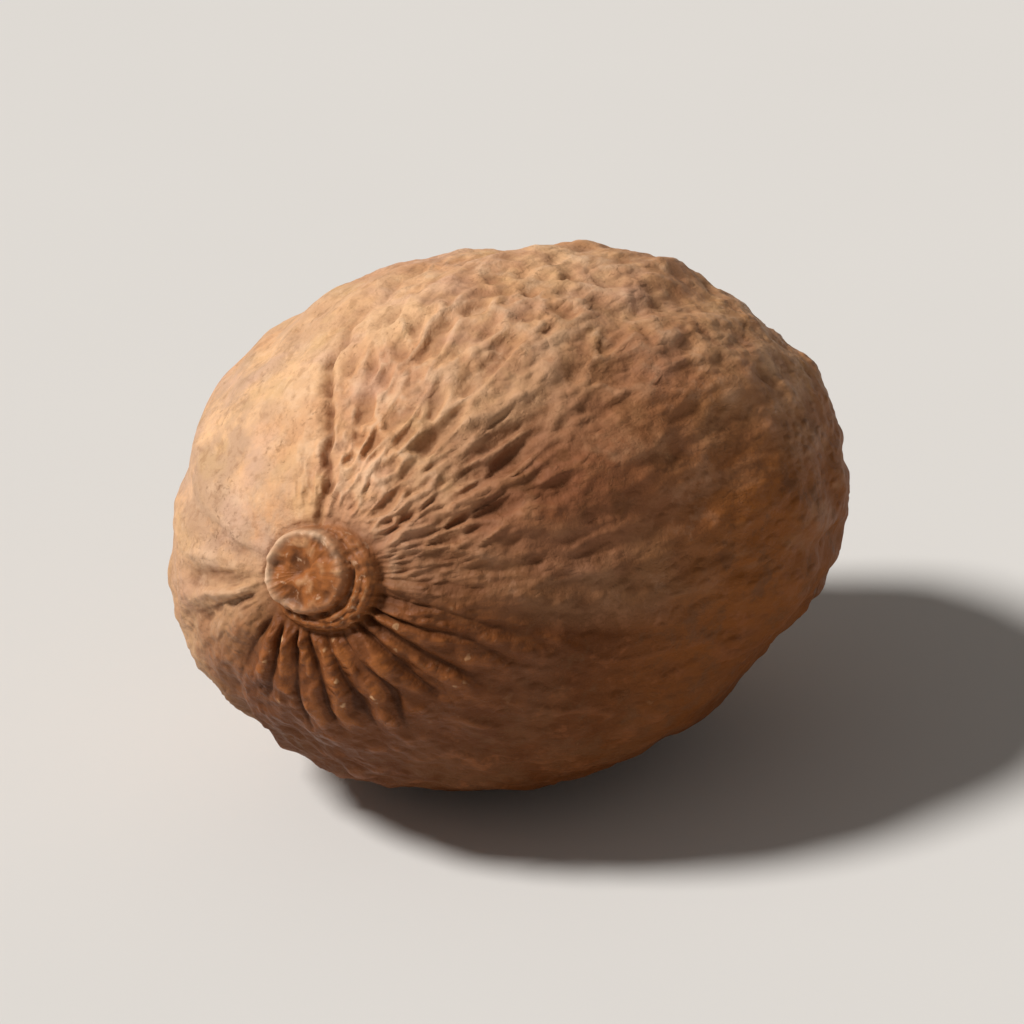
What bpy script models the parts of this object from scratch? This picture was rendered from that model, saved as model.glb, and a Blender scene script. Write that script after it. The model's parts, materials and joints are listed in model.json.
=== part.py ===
"""A whole nutmeg: one dried seed, lying on its side on a small flat rest.

Metres, +Z up. The long axis lies along X with the broad, hilum end towards -X, and the origin is
on the surface that the seed lies on, under the middle of its box.
"""

from math import atan2, cos, exp, pi, radians, sin

import bmesh
import bpy
from mathutils import Matrix, Vector, noise

MM = 0.001
SEED = 4                    # sets which way the folds sway

# Driving sizes of the seed.
LENGTH = 26.0 * MM
WIDTH = 19.8 * MM
HEIGHT = 19.2 * MM
REST_DEPTH = 0.25 * MM      # how much the small flat rest takes off the underside
NARROWING = 0.05            # how much slimmer the far half is than the hilum half

# Where the hilum sits: off the tip of the long axis, and rolled up from the -Y side.
HILUM_OFF_TIP = radians(32.8)
HILUM_ROLL = radians(32.5)
HILUM_BEND = 10.6 * MM      # how tightly the body curves there: arc length for each radian

# The hilum: a dished button to one side of a wider collar, with a moat round both.
BUTTON_RADIUS = 1.50 * MM
BUTTON_HEIGHT = 0.48 * MM
BUTTON_EDGE = 0.26 * MM
DISH_RADIUS = 0.95 * MM
DISH_DEPTH = 0.24 * MM
COLLAR_RADIUS = 1.85 * MM
COLLAR_HEIGHT = 0.26 * MM
COLLAR_WIDTH = 0.36 * MM
COLLAR_OFFSET = 0.58 * MM
COLLAR_TURN = radians(-108)
MOAT_RADIUS = 2.05 * MM
MOAT_DEPTH = 0.22 * MM
MOAT_WIDTH = 1.10 * MM

# Short ribs that fan out from the collar: where they start, are full, begin to fade and end.
RIB_COUNT = 20
RIB_HEIGHT = 0.20 * MM
RIB_START = radians(13)
RIB_FULL = radians(20)
RIB_FADE = radians(22)
RIB_END = radians(44)
RIB_WANDER = 3.2
RIB_UPPER_SHARE = 0.25      # how high the ribs above the hilum are, beside those under it

# Long folds of the shrunken skin, which run from the hilum to the chalaza.
FOLD_HEIGHT = 0.36 * MM
FOLD_COUNT = 4.6            # folds for each radian of turn
FOLD_STRETCH = 1.5          # folds for each radian along the seed
FOLD_SWAY = 0.7
LUMP_HEIGHT = 0.30 * MM
LUMP_SCALE = 2.3

# The raphe: a groove with low lips from the hilum over the top towards the chalaza.
RAPHE_TURN = radians(20)
RAPHE_START = radians(11)
RAPHE_FULL = radians(16)
RAPHE_FADE = radians(70)
RAPHE_END = radians(166)
RAPHE_END_SHARE = 0.45
RAPHE_WAVER = radians(5)
RAPHE_DEPTH = 0.30 * MM
RAPHE_WIDTH = radians(3.2)
RAPHE_LIP = 0.35

# The chalaza: a puckered dimple at the end away from the hilum.
CHALAZA_RADIUS = radians(13)
CHALAZA_DIMPLE = radians(10)
CHALAZA_DEPTH = 0.55 * MM
CHALAZA_FOLDS = 14
CHALAZA_FOLD_HEIGHT = 0.16 * MM

# Near the rest the relief is calmer, so that the rest is one plain spot.
REST_CALM_LOW = -0.97
REST_CALM_HIGH = -0.60
REST_CALM_SHARE = 0.15

# The mesh: a globe with rows from the hilum to the chalaza, closer together near both.
COLUMNS = 100
ROWS = 46
ROW_SPREAD = 0.30
ROW_LEAN = 0.30

NUT_COLOUR = (0.30, 0.165, 0.085, 1.0)
NUT_ROUGHNESS = 0.62


def clear_scene():
    for found in list(bpy.data.objects):
        bpy.data.objects.remove(found)


def bell(distance, width):
    return exp(-((distance / width) ** 2))


def smooth_step(low, high, value):
    share = min(1.0, max(0.0, (value - low) / (high - low)))
    return share * share * (3 - 2 * share)


def hilum_frame():
    """Turns the globe's pole to the hilum, with a turn of zero facing up."""
    pole = Vector((
        -cos(HILUM_OFF_TIP),
        -sin(HILUM_OFF_TIP) * cos(HILUM_ROLL),
        sin(HILUM_OFF_TIP) * sin(HILUM_ROLL),
    ))
    up = (Vector((0, 0, 1)) - pole * pole.z).normalized()
    return Matrix((up, pole.cross(up), pole)).transposed()


def body_point(direction):
    """The smooth egg, before any relief, about the middle of the seed."""
    slim = 1 - NARROWING * direction.x
    return Vector((
        direction.x * LENGTH / 2,
        direction.y * slim * WIDTH / 2,
        direction.z * slim * (HEIGHT + REST_DEPTH) / 2,
    ))


def body_normal(point):
    return Vector((
        point.x / LENGTH ** 2,
        point.y / WIDTH ** 2,
        point.z / (HEIGHT + REST_DEPTH) ** 2,
    )).normalized()


def hilum_relief(angle, turn):
    """Button, collar and moat, by the distance along the skin from the middle of each."""
    place = HILUM_BEND * angle * Vector((cos(turn), sin(turn)))
    collar_middle = COLLAR_OFFSET * Vector((cos(COLLAR_TURN), sin(COLLAR_TURN)))
    from_button = place.length
    from_collar = (place - collar_middle).length
    inside = BUTTON_RADIUS - BUTTON_EDGE
    outside = BUTTON_RADIUS + BUTTON_EDGE
    button = BUTTON_HEIGHT * (1 - smooth_step(inside, outside, from_button))
    dish = DISH_DEPTH * bell(from_button, DISH_RADIUS)
    collar = COLLAR_HEIGHT * bell(from_collar - COLLAR_RADIUS, COLLAR_WIDTH)
    moat = MOAT_DEPTH * bell(from_collar - MOAT_RADIUS, MOAT_WIDTH)
    return button - dish + collar - moat


def rib_relief(angle, turn):
    """Radial ribs that leave the collar, highest under the hilum, and fade along the seed."""
    along = smooth_step(RIB_START, RIB_FULL, angle) * (1 - smooth_step(RIB_FADE, RIB_END, angle))
    below = (1 - cos(turn - RAPHE_TURN)) / 2
    share = RIB_UPPER_SHARE + (1 - RIB_UPPER_SHARE) * below
    wander = RIB_WANDER * noise.noise(Vector((2 * cos(turn), 2 * sin(turn), 3 * angle)))
    return RIB_HEIGHT * along * share * cos(RIB_COUNT * turn + wander)


def fold_relief(angle, turn):
    """Long folds that follow the meridians from the hilum to the chalaza."""
    place = Vector((FOLD_COUNT * cos(turn), FOLD_COUNT * sin(turn), FOLD_STRETCH * angle))
    sway = FOLD_SWAY * noise.noise_vector(place * 0.4)
    return FOLD_HEIGHT * sin(angle) * noise.fractal(place + sway, 1.0, 2.0, 2)


def raphe_relief(angle, turn):
    """The groove, wavering a little, which grows fainter towards the chalaza."""
    waver = RAPHE_WAVER * noise.noise(Vector((0, 0, 3 * angle)))
    aside = ((turn - RAPHE_TURN - waver + pi) % (2 * pi) - pi) * sin(angle)
    fading = 1 - (1 - RAPHE_END_SHARE) * smooth_step(RAPHE_FADE, RAPHE_END, angle)
    lips = RAPHE_LIP * bell(abs(aside) - 2 * RAPHE_WIDTH, RAPHE_WIDTH)
    groove = bell(aside, RAPHE_WIDTH)
    return RAPHE_DEPTH * smooth_step(RAPHE_START, RAPHE_FULL, angle) * fading * (lips - groove)


def chalaza_relief(angle, turn):
    """A dimple in a ring of short puckers."""
    away = pi - angle
    ring = bell(away - CHALAZA_RADIUS, CHALAZA_DIMPLE) * smooth_step(0, CHALAZA_RADIUS, away)
    puckers = CHALAZA_FOLD_HEIGHT * ring * (1 + cos(CHALAZA_FOLDS * turn))
    return puckers - CHALAZA_DEPTH * bell(away, CHALAZA_DIMPLE)


def relief(angle, turn, direction):
    return (
        hilum_relief(angle, turn)
        + rib_relief(angle, turn)
        + fold_relief(angle, turn)
        + raphe_relief(angle, turn)
        + chalaza_relief(angle, turn)
        + LUMP_HEIGHT * noise.noise(direction * LUMP_SCALE)
    )


def skin_point(angle, turn, frame):
    """A point of the wrinkled skin, lifted so that the rest can be cut at z = 0."""
    direction = frame @ Vector((sin(angle) * cos(turn), sin(angle) * sin(turn), cos(angle)))
    point = body_point(direction)
    calm = smooth_step(REST_CALM_LOW, REST_CALM_HIGH, direction.z)
    share = REST_CALM_SHARE + (1 - REST_CALM_SHARE) * calm
    point += body_normal(point) * relief(angle, turn, direction) * share
    point.z += (HEIGHT + REST_DEPTH) / 2 - REST_DEPTH
    return point


def row_angle(even):
    """Moves an evenly spaced row towards the nearer pole, and all rows towards the hilum."""
    return even - ROW_SPREAD * sin(2 * even) / 2 - ROW_LEAN * sin(even)


def shape_skin(mesh):
    """Turns a unit globe into the wrinkled seed."""
    frame = hilum_frame()
    up = Vector((0, 0, 1))
    for corner in mesh.verts:
        angle = row_angle(corner.co.angle(up))
        turn = atan2(corner.co.y, corner.co.x)
        corner.co = skin_point(angle, turn, frame)


def cut_rest(mesh):
    """Cuts the underside flat at z = 0 and closes it with one flat face."""
    everything = mesh.verts[:] + mesh.edges[:] + mesh.faces[:]
    cut = bmesh.ops.bisect_plane(
        mesh, geom=everything, plane_co=(0, 0, 0), plane_no=(0, 0, 1), clear_inner=True
    )
    rim = [edge for edge in cut["geom_cut"] if isinstance(edge, bmesh.types.BMEdge)]
    bmesh.ops.contextual_create(mesh, geom=rim)
    bmesh.ops.recalc_face_normals(mesh, faces=mesh.faces[:])


def centre_on_rest(mesh):
    """Moves the seed so that the origin is under the middle of its box."""
    xs = [corner.co.x for corner in mesh.verts]
    ys = [corner.co.y for corner in mesh.verts]
    middle = Vector(((min(xs) + max(xs)) / 2, (min(ys) + max(ys)) / 2, 0))
    bmesh.ops.translate(mesh, verts=mesh.verts[:], vec=-middle)


def skin_material():
    skin = bpy.data.materials.new("nutmeg_skin")
    skin.use_nodes = True
    shader = skin.node_tree.nodes["Principled BSDF"]
    shader.inputs["Base Color"].default_value = NUT_COLOUR
    shader.inputs["Roughness"].default_value = NUT_ROUGHNESS
    shader.inputs["Metallic"].default_value = 0.0
    return skin


def make_nutmeg():
    mesh = bmesh.new()
    bmesh.ops.create_uvsphere(mesh, u_segments=COLUMNS, v_segments=ROWS, radius=1)
    shape_skin(mesh)
    cut_rest(mesh)
    centre_on_rest(mesh)
    data = bpy.data.meshes.new("nutmeg")
    mesh.to_mesh(data)
    mesh.free()
    data.materials.append(skin_material())
    data.shade_smooth()
    nutmeg = bpy.data.objects.new("nutmeg", data)
    bpy.context.scene.collection.objects.link(nutmeg)


noise.seed_set(SEED)
clear_scene()
make_nutmeg()
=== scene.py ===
"""The look of a whole nutmeg: its wrinkled skin, its hilum, and a plain pale studio.

Everything is in metres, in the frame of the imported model. The skin is worked out in two
directions: the angle away from the hilum, along the seed, and the turn round the hilum, which is
zero straight up and grows to the left of someone who faces the hilum.
"""

import json
from math import atan2, cos, exp, pi, radians, sin

import bmesh
import bpy
from mathutils import Matrix, Vector, noise

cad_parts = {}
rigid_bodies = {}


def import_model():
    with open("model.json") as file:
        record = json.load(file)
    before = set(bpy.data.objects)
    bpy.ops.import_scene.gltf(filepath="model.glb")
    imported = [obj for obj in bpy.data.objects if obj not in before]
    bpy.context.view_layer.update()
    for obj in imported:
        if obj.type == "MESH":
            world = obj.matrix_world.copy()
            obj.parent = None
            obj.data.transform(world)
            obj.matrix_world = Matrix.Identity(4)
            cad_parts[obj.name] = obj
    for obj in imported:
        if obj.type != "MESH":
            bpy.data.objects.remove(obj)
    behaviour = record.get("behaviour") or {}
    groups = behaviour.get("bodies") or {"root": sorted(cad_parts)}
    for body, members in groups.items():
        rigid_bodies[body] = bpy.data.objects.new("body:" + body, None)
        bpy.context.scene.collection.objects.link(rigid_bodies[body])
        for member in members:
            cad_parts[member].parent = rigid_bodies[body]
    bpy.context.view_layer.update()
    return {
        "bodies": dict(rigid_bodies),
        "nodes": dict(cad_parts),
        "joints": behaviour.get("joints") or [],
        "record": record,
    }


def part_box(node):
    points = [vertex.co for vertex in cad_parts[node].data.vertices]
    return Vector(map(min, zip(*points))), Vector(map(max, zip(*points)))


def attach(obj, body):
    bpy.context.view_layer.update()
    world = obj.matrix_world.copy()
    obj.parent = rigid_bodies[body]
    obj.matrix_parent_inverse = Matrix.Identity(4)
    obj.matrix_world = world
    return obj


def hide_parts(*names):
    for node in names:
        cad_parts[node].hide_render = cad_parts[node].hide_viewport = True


MM = 0.001
SEED = 4

# The egg under the folds: how much slimmer its far half is, and where the hilum sits.
NARROWING = 0.05
HILUM_OFF_TIP = radians(32.8)
HILUM_ROLL = radians(32.5)
HILUM_BEND = 10.6 * MM

# The hilum: a dished button with a lip, beside the middle of a wider collar with rings on it.
BUTTON_INSIDE = 1.34 * MM
BUTTON_OUTSIDE = 1.72 * MM
BUTTON_HEIGHT = 0.36 * MM
BUTTON_TILT = 0.12 * MM     # how much higher its upper left side stands
BUTTON_TILT_TURN = radians(66)
LIP_RADIUS = 1.42 * MM
LIP_WIDTH = 0.17 * MM
LIP_HEIGHT = 0.30 * MM
DISH_RADIUS = 1.15 * MM
DISH_DEPTH = 0.24 * MM
KNOB_HEIGHT = 0.18 * MM
GRAIN_HEIGHT = 0.07 * MM
COLLAR_OFFSET = 0.58 * MM
COLLAR_TURN = radians(-108)
COLLAR_INSIDE = 1.90 * MM
COLLAR_OUTSIDE = 2.14 * MM
COLLAR_HEIGHT = 0.22 * MM
RING_HEIGHT = 0.070 * MM
RING_SPACING = 0.29 * MM
GRIT_HEIGHT = 0.10 * MM
GAP_RADIUS = 1.74 * MM      # the gap between the button and the collar
GAP_WIDTH = 0.12 * MM
GAP_DEPTH = 0.28 * MM
DITCH_RADIUS = 2.22 * MM    # the ditch outside the collar
DITCH_WIDTH = 0.20 * MM
DITCH_DEPTH = 0.22 * MM
HOLLOW_RADIUS = 2.2 * MM    # the shallow hollow that the whole hilum sits in
HOLLOW_WIDTH = 1.1 * MM
HOLLOW_DEPTH = 0.15 * MM
HILUM_REACH = 5 * MM        # past here the hilum has no relief
FULL_KNOB = 0.12 * MM       # the knobs' height that counts as full when the hilum is coloured
BUTTON_STAIN = (1.50 * MM, 1.78 * MM)   # where the button's colour begins to fade, and ends
COLLAR_STAIN = (1.95 * MM, 2.4 * MM)

# The heights and depths of the skin's other relief.
FOLD_HEIGHT = 0.34 * MM
BROAD_LUMP_HEIGHT = 0.30 * MM
LUMP_HEIGHT = 0.10 * MM
RIB_COUNT = 15
RIB_HEIGHT = 0.52 * MM
SIDE_FOLD_HEIGHT = 0.13 * MM
STREAK_HEIGHT = 0.20 * MM
FAN_PIT_DEPTH = 0.30 * MM
PIT_DEPTH = 0.25 * MM
SMALL_PIT_DEPTH = 0.14 * MM
CORD_HEIGHT = 0.13 * MM
WRINKLE_HEIGHT = 0.08 * MM
BUMP_HEIGHT = 0.07 * MM
RAPHE_DEPTH = 0.30 * MM
RAPHE_WIDTH = 0.15 * MM
RAPHE_LIP_HEIGHT = 0.10 * MM
PUCKER_COUNT = 9
PUCKER_HEIGHT = 0.20 * MM
DIMPLE_DEPTH = 0.80 * MM
DIMPLE_WIDTH = radians(8.5)
DIMPLE_DARKENING_WIDTH = radians(8)
FULL_CREST = 0.16 * MM      # the relief that counts as a full crest when the skin is coloured

# Near the rest the relief is calmer. Heights go from -1 at the bottom of the seed to 1 at its top.
CALM_BELOW = -0.97
CALM_ABOVE = -0.72
CALM_SHARE = 0.30

# The marks that the mesh carries for its colours. The last ones are zones of the skin.
ZONE_MARKS = ("smooth", "under", "dusky_patch_and_shade", "golden_stain_and_shade", "underside_stain_and_shade", "back", "far_end")
MARKS = ("crest", "groove", "button", "collar", "knobs", "lip", "dimple") + ZONE_MARKS

# The mesh: columns round the hilum and rows along the seed, closer together near the hilum.
COLUMNS = 512
ROWS = 190
ROW_SPREAD = 0.28
ROW_LEAN = 0.26

# The camera: where it looks from, and how large the seed is in its picture.
CAMERA_AZIMUTH = radians(-28.4)
CAMERA_ELEVATION = radians(29.5)
CAMERA_LENS = 300
SENSOR = 36
VIEW_LENGTH = 0.94          # how long the seed looks from there, beside its real length
SEED_SHARE = 0.66           # how much of the picture's width it takes

# The light: one soft sun high on the hilum's side, and a dim warm sky.
SUN_AZIMUTH = CAMERA_AZIMUTH + radians(-79)
SUN_ELEVATION = radians(50)
SUN_STRENGTH = 3.7
SUN_SOFTNESS = radians(12)
SUN_COLOUR = (1.0, 0.97, 0.93)
SKY_COLOUR = (1.0, 0.93, 0.86, 1)
SKY_STRENGTH = 0.17

# The floor: level near the seed, then rising gently, so that it fills a low view too.
FLOOR_FLAT = 0.3
FLOOR_RADIUS = 1.4
FLOOR_RISE = 0.05           # its height at one metre past the level part
FLOOR_RINGS = 12
FLOOR_COLUMNS = 96


# ---------------------------------------------------------------------- small helpers


def bell(distance, width):
    return exp(-((distance / width) ** 2))


def smooth_step(low, high, value):
    share = min(1.0, max(0.0, (value - low) / (high - low)))
    return share * share * (3 - 2 * share)


def clamp(value, low=0.0, high=1.0):
    return min(high, max(low, value))


def around(turn, middle):
    """The turn from middle to here, the short way round."""
    return (turn - middle + pi) % (2 * pi) - pi


def facing(turn, middle, half_width):
    """One at the middle turn, falling off smoothly to either side. Both are in degrees."""
    return bell(around(turn, radians(middle)), radians(half_width))


def rise(low, high, angle):
    """Nought before low degrees, and one after high degrees."""
    return smooth_step(radians(low), radians(high), angle)


def fade(low, high, angle):
    """One before low degrees, and nought after high degrees."""
    return 1 - rise(low, high, angle)


def rolled(turn, count, along):
    """A place on a tube that is count cells round, so that a pattern meets itself."""
    radius = count / (2 * pi)
    return Vector((radius * cos(turn), radius * sin(turn), along))


# ---------------------------------------------------------------------- the seed's relief


def skin_zones(angle, turn, direction):
    """How much each kind of skin there is here, from nought to one."""
    edge = 0.30 * noise.noise(direction * 4.3)
    near = fade(12, 17, angle)
    smooth = facing(turn, 70 + 40 * edge, 40) * fade(54, 100, angle)
    pitted = facing(turn, -12, 32) * fade(56, 92, angle)
    underside_stain_and_shade = clamp(2.5 * facing(turn, -150, 54)) * fade(118, 158, angle)
    back = rise(76, 112, angle) + 0.8 * facing(turn, 150, 36)
    return {
        "near": near,
        "patch": noise.noise(direction * 1.9 + Vector((3, 1, 7))),
        "smooth": clamp(smooth * 1.2 + edge * smooth),
        "pitted": pitted * (1 - near),
        "fanned": facing(turn, -50, 27) * fade(38, 62, angle),
        "under": facing(turn, -160, 70) * fade(34, 56, angle),
        "left": facing(turn, 112, 30) * fade(24, 46, angle),
        "flank": facing(turn, -84, 38) * rise(30, 50, angle),
        # The dusky, golden and underside zones are darker partly as their own colour and partly as
        # painted shade, away from the sun.
        "dusky_patch_and_shade": facing(turn, -57, 36) * bell(angle - radians(49), radians(41)),
        "golden_stain_and_shade": facing(turn, -84, 46) * rise(44, 84, angle),
        "underside_stain_and_shade": underside_stain_and_shade,
        "back": clamp(back),
        "far_end": rise(138, 166, angle),
    }


def long_folds(angle, turn):
    """The folds that the solid has too, from the hilum to the chalaza."""
    place = Vector((4.6 * cos(turn), 4.6 * sin(turn), 1.5 * angle))
    sway = 0.7 * noise.noise_vector(place * 0.4)
    return FOLD_HEIGHT * sin(angle) * noise.fractal(place + sway, 1.0, 2.0, 2)


def hilum_place(angle, turn):
    """The place beside the hilum's middle, and the distances from the button's and collar's."""
    place = HILUM_BEND * angle * Vector((cos(turn), sin(turn), 0))
    collar_middle = COLLAR_OFFSET * Vector((cos(COLLAR_TURN), sin(COLLAR_TURN), 0))
    return place, place.length, (place - collar_middle).length


def hilum_relief(turn, place, from_button, from_collar):
    """A dished, lumpy button with a lip, beside the rings of a wider collar.

    Returns the height, the knobs' share of it, and how much lip and crevice there is here. The
    crevice share is painted dark as shade, and the lip share painted pale, partly as a highlight.
    """
    if from_button > HILUM_REACH:
        return 0.0, 0.0, 0.0, 0.0
    grain_place = place / MM
    reach = from_button + 0.12 * MM * noise.noise(grain_place * 1.1)
    button = 1 - smooth_step(BUTTON_INSIDE, BUTTON_OUTSIDE, reach)
    raised = 0.5 + 0.5 * cos(around(turn, BUTTON_TILT_TURN))
    top = BUTTON_HEIGHT + BUTTON_TILT * raised * min(1, from_button / MM)
    beads = 0.85 + 0.5 * noise.noise(rolled(turn, 22, 0))
    # The lip is taller on the sunlit upper left, and its share is painted cream: partly its own
    # paler colour, partly painted highlight.
    lip = beads * bell(reach - LIP_RADIUS, LIP_WIDTH) * (0.12 + 0.88 * raised)
    dish = DISH_DEPTH * bell(reach, DISH_RADIUS)
    knobs = button * KNOB_HEIGHT * noise.noise(grain_place * 1.5 + Vector((5, 1, 2)))
    grains = button * GRAIN_HEIGHT * noise.noise(grain_place * 3.6 + Vector((1, 3, 2)))

    on_collar = (1 - button) * (1 - smooth_step(COLLAR_INSIDE, COLLAR_OUTSIDE, from_collar))
    ring_reach = from_collar + 0.13 * MM * noise.noise(grain_place * 1.4)
    rings = RING_HEIGHT * cos(ring_reach / RING_SPACING * 2 * pi)
    grit = GRIT_HEIGHT * noise.noise(grain_place * 3.4)
    # The gap and the ditch are deeper on the side away from the sun, and their share is painted
    # dark as shade.
    gap = bell(from_button - GAP_RADIUS, GAP_WIDTH) * (0.40 + 0.60 * facing(turn, -130, 105))
    ditch = bell(from_collar - DITCH_RADIUS, DITCH_WIDTH) * facing(turn, -125, 112)
    hollow = HOLLOW_DEPTH * bell(from_collar - HOLLOW_RADIUS, HOLLOW_WIDTH)

    height = button * top + LIP_HEIGHT * lip - dish + knobs + grains
    height += on_collar * (COLLAR_HEIGHT + rings + grit)
    height -= GAP_DEPTH * gap + DITCH_DEPTH * ditch + hollow
    knobbly = (knobs + 1.4 * grains + on_collar * (rings + grit)) / FULL_KNOB
    return height, clamp(knobbly, -1, 1), clamp(lip), clamp(gap + 0.8 * ditch)


def rib_relief(angle, turn, zones):
    """Ribs with narrow clefts between, which leave the collar under the hilum and break up."""
    ragged = 9 * noise.noise(rolled(turn, 13, 0))
    along = rise(12, 16, angle) * fade(27 + ragged, 47 + ragged, angle)
    if along <= 0:
        return 0.0
    wander = 3.0 * noise.noise(rolled(turn, 8, 1.3 * angle + 4))
    wander += 1.1 * noise.noise(rolled(turn, 24, 5 * angle))
    backs = abs(cos(RIB_COUNT * turn + wander)) ** 0.8
    lumps = 0.6 * noise.noise(rolled(turn, 46, 9 * angle))
    lumps += 0.35 * noise.noise(rolled(turn, 90, 26 * angle))
    tall = 0.75 + 0.9 * noise.noise(rolled(turn, 12, 3 * angle + 9))
    folds = cos(around(turn, radians(100)) * 19 + 0.8 * wander) + 0.6 * lumps
    ribs = zones["under"] * tall * (backs - 0.65 + lumps * backs)
    return along * (RIB_HEIGHT * ribs + SIDE_FOLD_HEIGHT * zones["left"] * folds)


def fan_relief(angle, turn, zones):
    """Streaks and long pits that fan out from the hilum between the raphe and the flank."""
    share = rise(13, 19, angle) * zones["fanned"]
    if share <= 0.01:
        return 0.0
    leaning = turn - 0.28 * angle
    sway = 1.3 * noise.noise(rolled(turn, 14, 4 * angle))
    wave = noise.noise(rolled(leaning, 58, 4.4 * angle + sway))
    wave += 0.4 * noise.noise(rolled(leaning, 120, 9 * angle))
    streaks = smooth_step(-0.42, 0.34, wave) - 0.6
    return share * (STREAK_HEIGHT * streaks + FAN_PIT_DEPTH * net(angle, turn, 58, 4.6, 20))


def net(angle, turn, count, length, key):
    """Cords of skin, just above nought, round pits that are longer than wide, down to minus one."""
    leaning = turn - 0.30 * angle
    place = rolled(leaning, count * (0.42 + 0.58 * sin(angle)), length * angle + key)
    place += 0.9 * noise.noise_vector(place * 0.33)
    place += 0.3 * noise.noise_vector(place * 1.4)
    distances, centres = noise.voronoi(place)
    border = distances[1] - distances[0]
    chance = 0.66 + 0.40 * noise.cell(centres[0] * 3.7)
    return 0.38 * bell(border, 0.15) - (1 - bell(border, 0.33)) * chance


def cord_relief(angle, turn):
    """Long thin cords that run and waver along the seed, and come and go."""
    wander = 2.6 * noise.noise(rolled(turn, 6, 1.3 * angle))
    wander += 0.7 * noise.noise(rolled(turn, 22, 5 * angle))
    wave = cos(8 * turn + wander) / (0.25 + sin(angle))
    uneven = clamp(0.45 + 1.5 * noise.noise(rolled(turn, 9, 2.2 * angle + 5)))
    return CORD_HEIGHT * uneven * (bell(wave, 0.17) - 0.15)


def wrinkle_relief(angle, turn, direction):
    """Close wrinkles that run along the seed, broken up across, and low bumps."""
    place = rolled(turn, 84 * (0.4 + 0.6 * sin(angle)), 9 * angle)
    place += 0.9 * noise.noise_vector(place * 0.3)
    lumps = noise.noise(rolled(turn, 50 * (0.3 + 0.7 * sin(angle)), 8 * angle + 40))
    bumps = noise.noise(direction * 15 + 0.8 * noise.noise_vector(direction * 6))
    return WRINKLE_HEIGHT * noise.noise(place) + BUMP_HEIGHT * (lumps + bumps)


def raphe_relief(angle, turn):
    """The thin groove, beaded along its bottom, with low lips.

    Returns the height, and how much groove there is here.
    """
    waver = radians(5) * noise.noise(Vector((0, 0, 3 * angle)))
    waver += radians(2.6) * noise.noise(Vector((3, 0, 11 * angle)))
    middle = radians(4 + 19 * rise(10, 48, angle))
    aside = around(turn, middle + waver) * sin(angle) * HILUM_BEND
    strong = rise(8, 12, angle) * (1 - 0.7 * rise(46, 62, angle)) * fade(110, 160, angle)
    broken = clamp(0.72 + 0.9 * noise.noise(Vector((1, 7, 22 * angle))))
    groove = bell(aside, RAPHE_WIDTH) * broken * strong
    lips = bell(abs(aside) - 0.38 * MM, 0.18 * MM) * strong
    lips *= 0.7 + 0.7 * noise.noise(Vector((4, 2, 26 * angle)))
    return RAPHE_LIP_HEIGHT * lips - RAPHE_DEPTH * groove, groove


def chalaza_relief(angle, turn):
    """A dimple in a ring of short puckers."""
    away = pi - angle
    ring = bell(away - radians(14), radians(8)) * rise(0, 9, away)
    wander = 2.2 * noise.noise(rolled(turn, 6, 3 * angle))
    puckers = PUCKER_HEIGHT * ring * (1 + cos(PUCKER_COUNT * turn + wander))
    return puckers - DIMPLE_DEPTH * bell(away, DIMPLE_WIDTH)


def relief_shares(angle, zones):
    """How much of the pits, small pits, cords and wrinkles there is here."""
    away = 1 - zones["near"]
    patch, pitted, flank = zones["patch"], zones["pitted"], zones["flank"]
    quiet = max(zones["smooth"], 0.9 * zones["under"], 0.9 * zones["fanned"])
    pits = clamp(1.1 * pitted + 0.5 * patch + 0.12 + 0.12 * zones["back"] - quiet)
    small_pits = clamp(0.62 - 0.5 * patch - 0.5 * flank + 0.4 * zones["under"] - quiet)
    small_pits *= 1 - 0.4 * rise(76, 110, angle)
    cords = clamp(0.45 + 0.8 * flank - quiet - 0.4 * pitted) * fade(84, 118, angle)
    wrinkles = clamp(0.95 - 0.58 * zones["smooth"] - 0.2 * pitted)
    return away * pits, away * small_pits, away * cords, away * wrinkles


def skin_at(angle, turn, direction):
    """How far the skin stands out here, and the marks that its colours follow."""
    zones = skin_zones(angle, turn, direction)
    pits, small_pits, cords, wrinkles = relief_shares(angle, zones)
    fine = (
        cords * cord_relief(angle, turn)
        + wrinkles * wrinkle_relief(angle, turn, direction)
        + fan_relief(angle, turn, zones)
        + rib_relief(angle, turn, zones)
    )
    if pits > 0:
        fine += pits * PIT_DEPTH * net(angle, turn, 52, 6.0, 0)
    if small_pits > 0:
        fine += small_pits * SMALL_PIT_DEPTH * net(angle, turn, 88, 9.0, 50)
    fine *= 1 - 0.85 * zones["far_end"]
    coarse = (
        long_folds(angle, turn)
        + chalaza_relief(angle, turn)
        + BROAD_LUMP_HEIGHT * noise.noise(direction * 2.3)
        + LUMP_HEIGHT * noise.noise(direction * 6.1)
    )
    raphe, groove = raphe_relief(angle, turn)
    place, from_button, from_collar = hilum_place(angle, turn)
    hilum, knobs, lip, crevice_shade = hilum_relief(turn, place, from_button, from_collar)
    marks = {
        "crest": clamp(fine / FULL_CREST, -1, 1),
        # Painted shade: the groove mark adds the hilum's gap and ditch to the raphe's own dark
        # line.
        "groove": clamp(groove + crevice_shade),
        "button": 1 - smooth_step(*BUTTON_STAIN, from_button),
        "collar": 1 - smooth_step(*COLLAR_STAIN, from_collar),
        "knobs": knobs,
        "lip": lip,
        "dimple": bell(pi - angle, DIMPLE_DARKENING_WIDTH),
    }
    marks.update((name, zones[name]) for name in ZONE_MARKS)
    return coarse + fine + raphe + hilum, marks


# ---------------------------------------------------------------------- the seed's mesh


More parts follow.
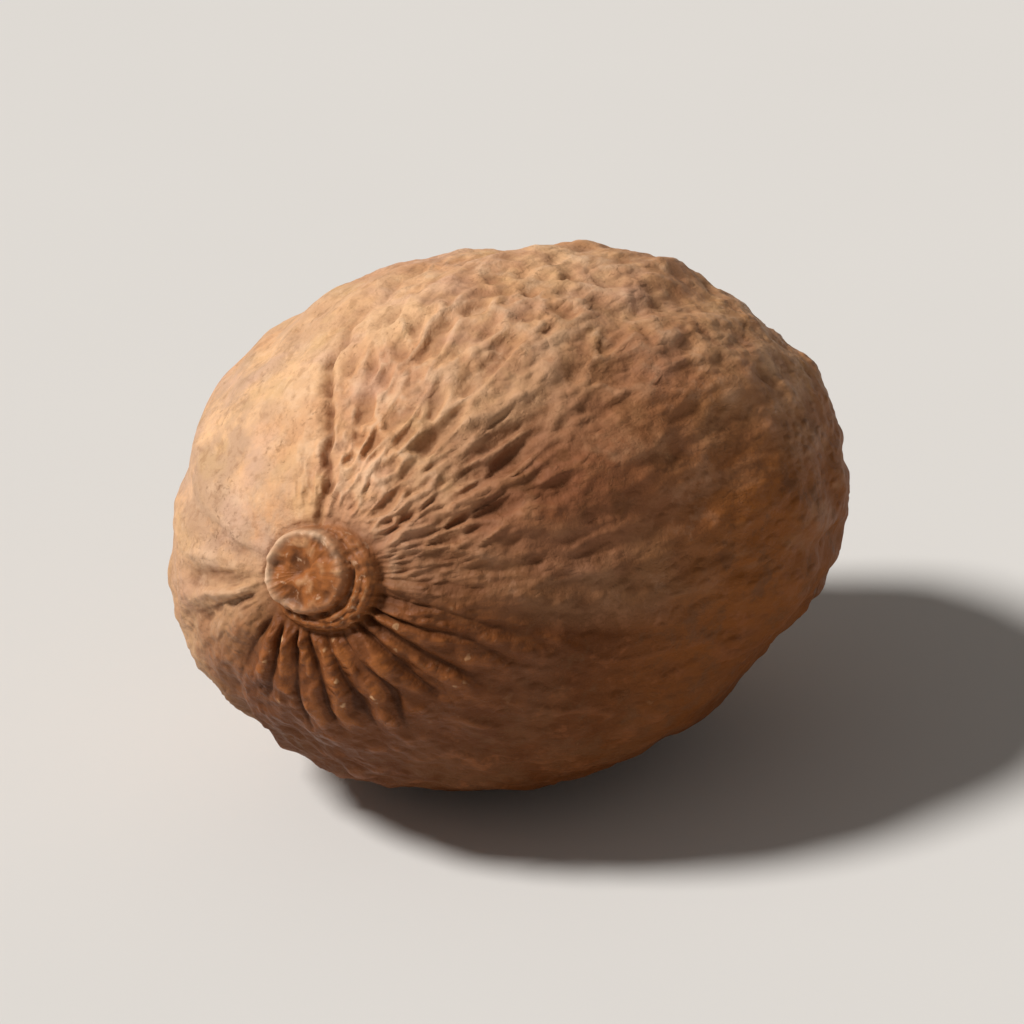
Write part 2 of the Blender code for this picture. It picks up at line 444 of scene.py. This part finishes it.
def hilum_frame():
    """Turns the globe's pole to the hilum, with a turn of zero facing up."""
    pole = Vector((
        -cos(HILUM_OFF_TIP),
        -sin(HILUM_OFF_TIP) * cos(HILUM_ROLL),
        sin(HILUM_OFF_TIP) * sin(HILUM_ROLL),
    ))
    up = (Vector((0, 0, 1)) - pole * pole.z).normalized()
    return Matrix((up, pole.cross(up), pole)).transposed()


def row_angle(even):
    """Moves an evenly spaced row towards the nearer pole, and all rows towards the hilum."""
    return even - ROW_SPREAD * sin(2 * even) / 2 - ROW_LEAN * sin(even)


def egg_point(direction, size):
    slim = 1 - NARROWING * direction.x
    return Vector((
        direction.x * size.x / 2,
        direction.y * slim * size.y / 2,
        direction.z * slim * size.z / 2,
    ))


def egg_normal(point, size):
    return Vector((
        point.x / size.x ** 2,
        point.y / size.y ** 2,
        point.z / size.z ** 2,
    )).normalized()


def calm_share(height):
    """Less relief near the underside, where the seed rests."""
    return CALM_SHARE + (1 - CALM_SHARE) * smooth_step(CALM_BELOW, CALM_ABOVE, height)


def fit_to_box(mesh, low, high):
    """Stretches the seed by a hair, so that it fills the solid's box exactly."""
    for axis in range(3):
        places = [corner.co[axis] for corner in mesh.verts]
        least, most = min(places), max(places)
        scale = (high[axis] - low[axis]) / (most - least)
        for corner in mesh.verts:
            corner.co[axis] = low[axis] + (corner.co[axis] - least) * scale


def shape_seed(mesh, size):
    """Turns a unit globe into the wrinkled seed, and writes its marks on its corners."""
    frame = hilum_frame()
    up = Vector((0, 0, 1))
    for name in MARKS:
        mesh.verts.layers.float.new(name)
    lie = mesh.verts.layers.float_vector.new("lie")
    layers = {name: mesh.verts.layers.float[name] for name in MARKS}
    for corner in mesh.verts:
        angle = row_angle(corner.co.angle(up))
        turn = atan2(corner.co.y, corner.co.x)
        direction = frame @ Vector((sin(angle) * cos(turn), sin(angle) * sin(turn), cos(angle)))
        height, marks = skin_at(angle, turn, direction)
        point = egg_point(direction, size)
        corner.co = point + egg_normal(point, size) * height * calm_share(direction.z)
        corner[lie] = (sin(angle) * cos(turn), sin(angle) * sin(turn), angle)
        for name, value in marks.items():
            corner[layers[name]] = value


def make_seed(low, high):
    mesh = bmesh.new()
    bmesh.ops.create_uvsphere(mesh, u_segments=COLUMNS, v_segments=ROWS, radius=1)
    shape_seed(mesh, high - low)
    fit_to_box(mesh, low, high)
    bmesh.ops.recalc_face_normals(mesh, faces=mesh.faces[:])
    data = bpy.data.meshes.new("nutmeg_skin")
    mesh.to_mesh(data)
    mesh.free()
    data.shade_smooth()
    seed = bpy.data.objects.new("nutmeg_skin", data)
    bpy.context.scene.collection.objects.link(seed)
    return seed


# ---------------------------------------------------------------------- materials


class Weaver:
    """Adds linked nodes to one material, so that a finish reads as a list of layers."""

    def __init__(self, name):
        self.material = bpy.data.materials.new(name)
        self.material.use_nodes = True
        self.tree = self.material.node_tree
        self.shader = self.tree.nodes["Principled BSDF"]
        self.here = self.node("ShaderNodeTexCoord").outputs["Object"]

    def feed(self, socket, value):
        if isinstance(value, bpy.types.NodeSocket):
            self.tree.links.new(value, socket)
        else:
            socket.default_value = value

    def finish(self, name, value):
        self.feed(self.shader.inputs[name], value)

    def node(self, kind, **inputs):
        made = self.tree.nodes.new(kind)
        for name, value in inputs.items():
            self.feed(made.inputs[name], value)
        return made

    def attribute(self, name, output="Fac"):
        made = self.tree.nodes.new("ShaderNodeAttribute")
        made.attribute_name = name
        return made.outputs[output]

    def maths(self, operation, first, second):
        made = self.tree.nodes.new("ShaderNodeMath")
        made.operation = operation
        self.feed(made.inputs[0], first)
        self.feed(made.inputs[1], second)
        return made.outputs[0]

    def times(self, first, second):
        return self.maths("MULTIPLY", first, second)

    def plus(self, first, second):
        return self.maths("ADD", first, second)

    def less(self, first, second):
        return self.maths("SUBTRACT", first, second)

    def more_of(self, first, second):
        return self.maths("MAXIMUM", first, second)

    def spread(self, value, low, high, to_low=0.0, to_high=1.0):
        """Maps low to high onto to_low to to_high, smoothly and with no overshoot."""
        made = self.tree.nodes.new("ShaderNodeMapRange")
        made.interpolation_type = "SMOOTHSTEP"
        for socket, given in zip(made.inputs, (value, low, high, to_low, to_high)):
            self.feed(socket, given)
        return made.outputs[0]

    def scaled(self, vector, scale):
        made = self.tree.nodes.new("ShaderNodeMapping")
        self.feed(made.inputs["Vector"], vector)
        made.inputs["Scale"].default_value = scale
        return made.outputs[0]

    def noise(self, vector, scale, detail=2.0, roughness=0.5, distortion=0.0):
        made = self.node(
            "ShaderNodeTexNoise", Vector=vector, Scale=scale, Detail=detail,
            Roughness=roughness, Distortion=distortion,
        )
        return made.outputs["Fac"]

    def blend(self, share, first, second):
        made = self.tree.nodes.new("ShaderNodeMix")
        made.data_type = "RGBA"
        self.feed(made.inputs["Factor"], share)
        self.feed(made.inputs[6], first)
        self.feed(made.inputs[7], second)
        return made.outputs[2]


# The skin's colours, from the pale smooth side to the dark clefts, and the floor's two greys. Some
# browns also stand for painted shade, and some creams for painted highlights and glints.
PALE = (0.55, 0.343, 0.215, 1)
TAN = (0.80, 0.487, 0.266, 1)
WARM_TAN = (0.68, 0.362, 0.181, 1)
ROSY_TAN = (0.54, 0.275, 0.165, 1)
STRAW = (0.62, 0.400, 0.160, 1)
PINK_CREAM = (0.74, 0.46, 0.34, 1)
CREAM = (0.80, 0.54, 0.35, 1)
HOLLOW_BROWN = (0.20, 0.075, 0.030, 1)
FLECK_BROWN = (0.27, 0.125, 0.055, 1)
DUSKY_PATCH_AND_SHADE = (0.26, 0.098, 0.045, 1)
RED_BROWN = (0.28, 0.095, 0.032, 1)
OLIVE_BROWN = (0.15, 0.061, 0.022, 1)
DUSKY_CREST = (0.39, 0.170, 0.072, 1)
GOLDEN_STAIN_AND_SHADE = (0.25, 0.077, 0.012, 1)
UNDERSIDE_STAIN_AND_SHADE = (0.118, 0.034, 0.007, 1)
UMBER = (0.080, 0.026, 0.009, 1)
RIB_BROWN = (0.17, 0.055, 0.017, 1)
HILUM_BROWN = (0.16, 0.055, 0.018, 1)
ORANGE_BROWN = (0.32, 0.108, 0.030, 1)
GOLD_CREAM = (0.70, 0.42, 0.22, 1)
FLOOR_GREY = (0.68, 0.672, 0.66, 1)
FLOOR_PALE = (0.70, 0.692, 0.68, 1)


class Skin(Weaver):
    """The seed's skin: layers of colour and relief that follow the marks on its corners."""

    def __init__(self):
        super().__init__("nutmeg_skin")
        self.lie = self.attribute("lie", "Vector")
        self.mark = {name: self.attribute(name) for name in MARKS}
        self.patch = self.noise(self.here, 300, 5, 0.65)
        self.cloud = self.noise(self.here, 760, 5, 0.7)
        # The zones painted darker, partly as their own colour and partly as painted shade.
        self.shaded = self.more_of(
            self.more_of(self.mark["dusky_patch_and_shade"], self.mark["golden_stain_and_shade"]), self.mark["underside_stain_and_shade"]
        )
        self.unshaded_skin = self.less(1.0, self.shaded)
        self.flecks = self.fleck_share()

        colour = self.tans()
        colour = self.zone_layers(colour)
        colour = self.relief_layers(colour)
        colour = self.speckle(colour)
        colour = self.hilum_layers(colour)
        self.finish("Base Color", colour)
        self.add_gloss()
        self.add_bump()

    def along(self, across, lengthwise):
        """Places for a pattern that lies along the seed: how close it is each way."""
        return self.scaled(self.lie, (across, across, lengthwise))

    def tans(self):
        """Broad patches of tan, paler on the smooth side, with straw and pink tints."""
        smooth = self.mark["smooth"]
        broad = self.noise(self.here, 190, 4, 0.6)
        colour = self.blend(self.spread(broad, 0.44, 0.66), TAN, WARM_TAN)
        rosy = self.times(self.spread(self.patch, 0.48, 0.62), self.less(1.0, smooth))
        colour = self.blend(self.times(rosy, 0.55), colour, ROSY_TAN)
        mottle = self.noise(self.here, 620, 4, 0.65)
        colour = self.blend(self.times(smooth, self.spread(mottle, 0.68, 0.42)), colour, PALE)
        blotch = self.spread(self.noise(self.here, 150, 5, 0.65), 0.44, 0.58)
        browned = self.times(self.times(self.mark["back"], blotch), 0.62)
        colour = self.blend(browned, colour, DUSKY_CREST)
        tint = self.noise(self.here, 430, 3, 0.55)
        colour = self.blend(self.spread(tint, 0.52, 0.68, 0, 0.26), colour, STRAW)
        return self.blend(self.spread(tint, 0.48, 0.32, 0, 0.32), colour, PINK_CREAM)

    def zone_layers(self, colour):
        """Dusky patches on the flank, golden stains beyond them, and a deep brown underside: each
        darker partly as its own colour and partly as painted shade on the side away from the sun.
        """
        mark, cloud = self.mark, self.cloud
        share = self.times(mark["dusky_patch_and_shade"], self.spread(self.patch, 0.28, 0.50, 0.5, 1))
        colour = self.blend(share, colour, DUSKY_PATCH_AND_SHADE)
        share = self.times(mark["underside_stain_and_shade"], self.spread(self.patch, 0.72, 0.42, 0.88, 1))
        colour = self.blend(share, colour, UNDERSIDE_STAIN_AND_SHADE)
        stain = self.noise(self.along(7, 3.0), 1.0, 4, 0.6)
        share = self.times(mark["golden_stain_and_shade"], self.spread(stain, 0.34, 0.54, 0.55, 1))
        colour = self.blend(share, colour, GOLDEN_STAIN_AND_SHADE)
        share = self.times(self.shaded, self.spread(cloud, 0.50, 0.66, 0, 0.7))
        colour = self.blend(share, colour, OLIVE_BROWN)
        share = self.times(self.shaded, self.spread(cloud, 0.46, 0.32, 0, 0.6))
        colour = self.blend(share, colour, RED_BROWN)
        return self.blend(self.times(mark["under"], 0.95), colour, RIB_BROWN)

    def relief_layers(self, colour):
        """Hollows darkened, partly dust and partly painted shade; crests lightened, partly paler
        skin and partly painted highlight; ribs painted orange-brown, partly as highlight, with
        painted glints, and clefts darkened as painted shade.
        """
        crest, under = self.mark["crest"], self.mark["under"]
        # Painted shade and dust: the hollows darkened towards brown.
        colour = self.blend(self.spread(crest, 0.0, -0.95, 0, 0.40), colour, HOLLOW_BROWN)
        # Crests painted cream, partly paler skin and partly painted highlight, and darker on the
        # shaded zones as painted shade.
        crest_light_and_shade = self.blend(self.shaded, CREAM, DUSKY_CREST)
        crest_light_and_shade = self.blend(self.mark["underside_stain_and_shade"], crest_light_and_shade, RED_BROWN)
        colour = self.blend(self.spread(crest, 0.10, 0.85, 0, 0.45), colour, crest_light_and_shade)
        rib_back = self.times(under, self.spread(crest, 0.0, 0.9))
        # The rib backs painted orange-brown: partly their own golden brown, partly painted
        # highlight.
        golden_backs_and_highlights = self.spread(self.noise(self.along(16, 6), 1.0, 3), 0.40, 0.60, 0.15, 0.95)
        colour = self.blend(self.times(rib_back, golden_backs_and_highlights), colour, ORANGE_BROWN)
        # Painted shade: the clefts between the ribs darkened to umber.
        cleft_shade = self.times(under, self.spread(crest, -0.20, -0.80))
        colour = self.blend(self.times(cleft_shade, 0.95), colour, UMBER)
        # Pale specks on the rib backs: partly crumbs, partly painted glints.
        crumbs_and_glints = self.spread(self.noise(self.here, 1900, 2, 0.5), 0.64, 0.71, 0, 0.75)
        return self.blend(self.times(rib_back, crumbs_and_glints), colour, GOLD_CREAM)

    def fleck_share(self):
        """Small flecks that lie along the seed, gathered in places, and none on the hilum."""
        flecks = self.spread(self.noise(self.along(60, 34), 1.0, 4, 0.7, 0.6), 0.55, 0.72)
        gathered = self.spread(self.noise(self.here, 560, 3, 0.6), 0.42, 0.64)
        return self.times(self.times(flecks, gathered), self.less(1.0, self.mark["collar"]))

    def speckle(self, colour):
        """Mottling, then faint streaks and small flecks that lie along the seed."""
        colour = self.blend(self.spread(self.cloud, 0.56, 0.70, 0, 0.22), colour, HOLLOW_BROWN)
        # Painted shade: the pale cream clouds are kept off the shaded zones.
        pale_cloud = self.times(self.unshaded_skin, self.spread(self.cloud, 0.46, 0.32, 0, 0.34))
        colour = self.blend(pale_cloud, colour, CREAM)
        streaks = self.noise(self.along(24, 4.5), 1.0, 4, 0.65, 0.3)
        streaks = self.times(self.unshaded_skin, self.spread(streaks, 0.50, 0.68, 0, 0.34))
        colour = self.blend(streaks, colour, FLECK_BROWN)
        return self.blend(self.times(self.flecks, 0.42), colour, FLECK_BROWN)

    def hilum_layers(self, colour):
        """The grainy hilum, painted darker between its knobs and paler on them, partly as painted
        shade and highlight, with painted glints; its lip, pale partly as a painted highlight; the
        groove of the raphe, with painted shade in the crevices round the hilum; and the dark far
        end.
        """
        mark, knobs = self.mark, self.mark["knobs"]
        grain_and_glints = self.noise(self.here, 2600, 3, 0.6)
        # The hilum's own orange-brown, darker between its knobs and rings and paler on their tops:
        # partly its own mottling, partly painted shade and highlight.
        hilum = self.blend(self.spread(knobs, -0.85, 0.10), HILUM_BROWN, ORANGE_BROWN)
        hilum = self.blend(self.spread(knobs, 0.25, 1.2, 0, 0.45), hilum, GOLD_CREAM)
        # Pale grains: partly the hilum's own light specks, partly painted glints.
        hilum = self.blend(self.spread(grain_and_glints, 0.58, 0.72, 0, 0.5), hilum, CREAM)
        hilum = self.blend(self.spread(grain_and_glints, 0.42, 0.30, 0, 0.5), hilum, HILUM_BROWN)
        colour = self.blend(self.times(mark["collar"], 0.8), colour, hilum)
        colour = self.blend(self.times(mark["button"], 0.9), colour, hilum)
        # The raphe's own dark line, and painted shade in the gap and ditch round the hilum.
        colour = self.blend(self.times(mark["groove"], 0.85), colour, HILUM_BROWN)
        # The lip painted cream, most on the sunlit side: partly its own paler colour, partly
        # painted highlight.
        colour = self.blend(self.times(mark["lip"], 0.85), colour, CREAM)
        colour = self.blend(self.times(mark["far_end"], 0.6), colour, HOLLOW_BROWN)
        # Darker towards umber in the chalaza's dimple.
        share = self.times(mark["dimple"], self.spread(self.cloud, 0.62, 0.44, 0.6, 0.95))
        return self.blend(share, colour, UMBER)

    def add_gloss(self):
        """A dry skin, smoother on its crests, and with some polish on the ribs and the hilum."""
        polish = self.times(self.more_of(self.mark["under"], self.mark["collar"]), 0.24)
        dryness = self.spread(self.mark["crest"], -1.0, 1.0, 0.68, 0.48)
        self.finish("Roughness", self.less(dryness, polish))
        self.finish("Specular IOR Level", 0.12)

    def add_bump(self):
        """Fine relief, too small for the mesh."""
        mark = self.mark
        fine = self.noise(self.along(50, 36), 1.0, 5, 0.62, 0.2)
        grit = self.noise(self.here, 3600, 5, 0.65)
        pocks = self.node("ShaderNodeTexVoronoi", Vector=self.along(21, 14), Scale=1.0)
        pocks = self.spread(pocks.outputs["Distance"], 0.05, 0.55)
        pocks = self.times(pocks, self.less(1.0, mark["smooth"]))
        height = self.plus(self.times(fine, 0.6), self.times(pocks, 0.8))
        height = self.times(height, self.less(1.0, self.more_of(mark["collar"], mark["button"])))
        height = self.plus(height, self.times(grit, 0.6))
        height = self.less(height, self.times(self.flecks, 0.28))
        bump = self.node("ShaderNodeBump", Height=height, Strength=0.85, Distance=0.10 * MM)
        self.finish("Normal", bump.outputs["Normal"])


def floor_material():
    w = Weaver("pale_floor")
    w.finish("Base Color", w.blend(w.noise(w.here, 60, 3, 0.5), FLOOR_GREY, FLOOR_PALE))
    w.finish("Roughness", 0.85)
    w.finish("Specular IOR Level", 0.2)
    return w.material


# ---------------------------------------------------------------------- studio


def make_floor():
    """A round floor, flat but for its far edge, which rises so gently that it looks endless."""
    mesh = bmesh.new()
    steps = range(FLOOR_RINGS + 1)
    reaches = [FLOOR_FLAT + (FLOOR_RADIUS - FLOOR_FLAT) * step / FLOOR_RINGS for step in steps]
    places = [(0, 0, 0)] + [(reach, 0, FLOOR_RISE * (reach - FLOOR_FLAT) ** 2) for reach in reaches]
    corners = [mesh.verts.new(place) for place in places]
    edges = [mesh.edges.new(pair) for pair in zip(corners, corners[1:])]
    bmesh.ops.spin(
        mesh, geom=corners + edges, cent=(0, 0, 0), axis=(0, 0, 1), dvec=(0, 0, 0),
        angle=2 * pi, steps=FLOOR_COLUMNS, use_merge=True,
    )
    bmesh.ops.remove_doubles(mesh, verts=mesh.verts[:], dist=MM)
    bmesh.ops.recalc_face_normals(mesh, faces=mesh.faces[:])
    if mesh.faces[0].normal.z < 0:
        bmesh.ops.reverse_faces(mesh, faces=mesh.faces[:])
    data = bpy.data.meshes.new("floor")
    mesh.to_mesh(data)
    mesh.free()
    data.shade_smooth()
    data.materials.append(floor_material())
    floor = bpy.data.objects.new("floor", data)
    bpy.context.scene.collection.objects.link(floor)


def outward(azimuth, elevation):
    """The direction from the seed to something seen at this azimuth and elevation."""
    return Vector((
        sin(azimuth) * cos(elevation),
        -cos(azimuth) * cos(elevation),
        sin(elevation),
    ))


def light_studio():
    """One broad, soft sun high on the hilum's side, and a dim warm sky."""
    light = bpy.data.lights.new("key", "SUN")
    light.energy = SUN_STRENGTH
    light.angle = SUN_SOFTNESS
    light.color = SUN_COLOUR
    lamp = bpy.data.objects.new("key", light)
    lamp.rotation_euler = outward(SUN_AZIMUTH, SUN_ELEVATION).to_track_quat("Z", "Y").to_euler()
    bpy.context.scene.collection.objects.link(lamp)

    world = bpy.data.worlds.new("studio")
    world.use_nodes = True
    sky = world.node_tree.nodes["Background"]
    sky.inputs["Color"].default_value = SKY_COLOUR
    sky.inputs["Strength"].default_value = SKY_STRENGTH
    bpy.context.scene.world = world
    bpy.context.scene.view_settings.view_transform = "Standard"


def add_camera(low, high):
    middle = (low + high) / 2
    back = outward(CAMERA_AZIMUTH, CAMERA_ELEVATION)
    width = (high.x - low.x) * VIEW_LENGTH
    distance = width / SEED_SHARE * CAMERA_LENS / SENSOR
    data = bpy.data.cameras.new("camera")
    data.lens = CAMERA_LENS
    data.sensor_width = SENSOR
    data.clip_start = 0.01
    data.clip_end = 20
    camera = bpy.data.objects.new("camera", data)
    camera.location = middle + back * distance
    camera.rotation_euler = back.to_track_quat("Z", "Y").to_euler()
    bpy.context.scene.collection.objects.link(camera)
    bpy.context.scene.camera = camera


noise.seed_set(SEED)
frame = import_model()
seed_low, seed_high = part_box("nutmeg")

seed = make_seed(seed_low, seed_high)
seed.data.materials.append(Skin().material)
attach(seed, "root")
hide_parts("nutmeg")

make_floor()
light_studio()
add_camera(seed_low, seed_high)
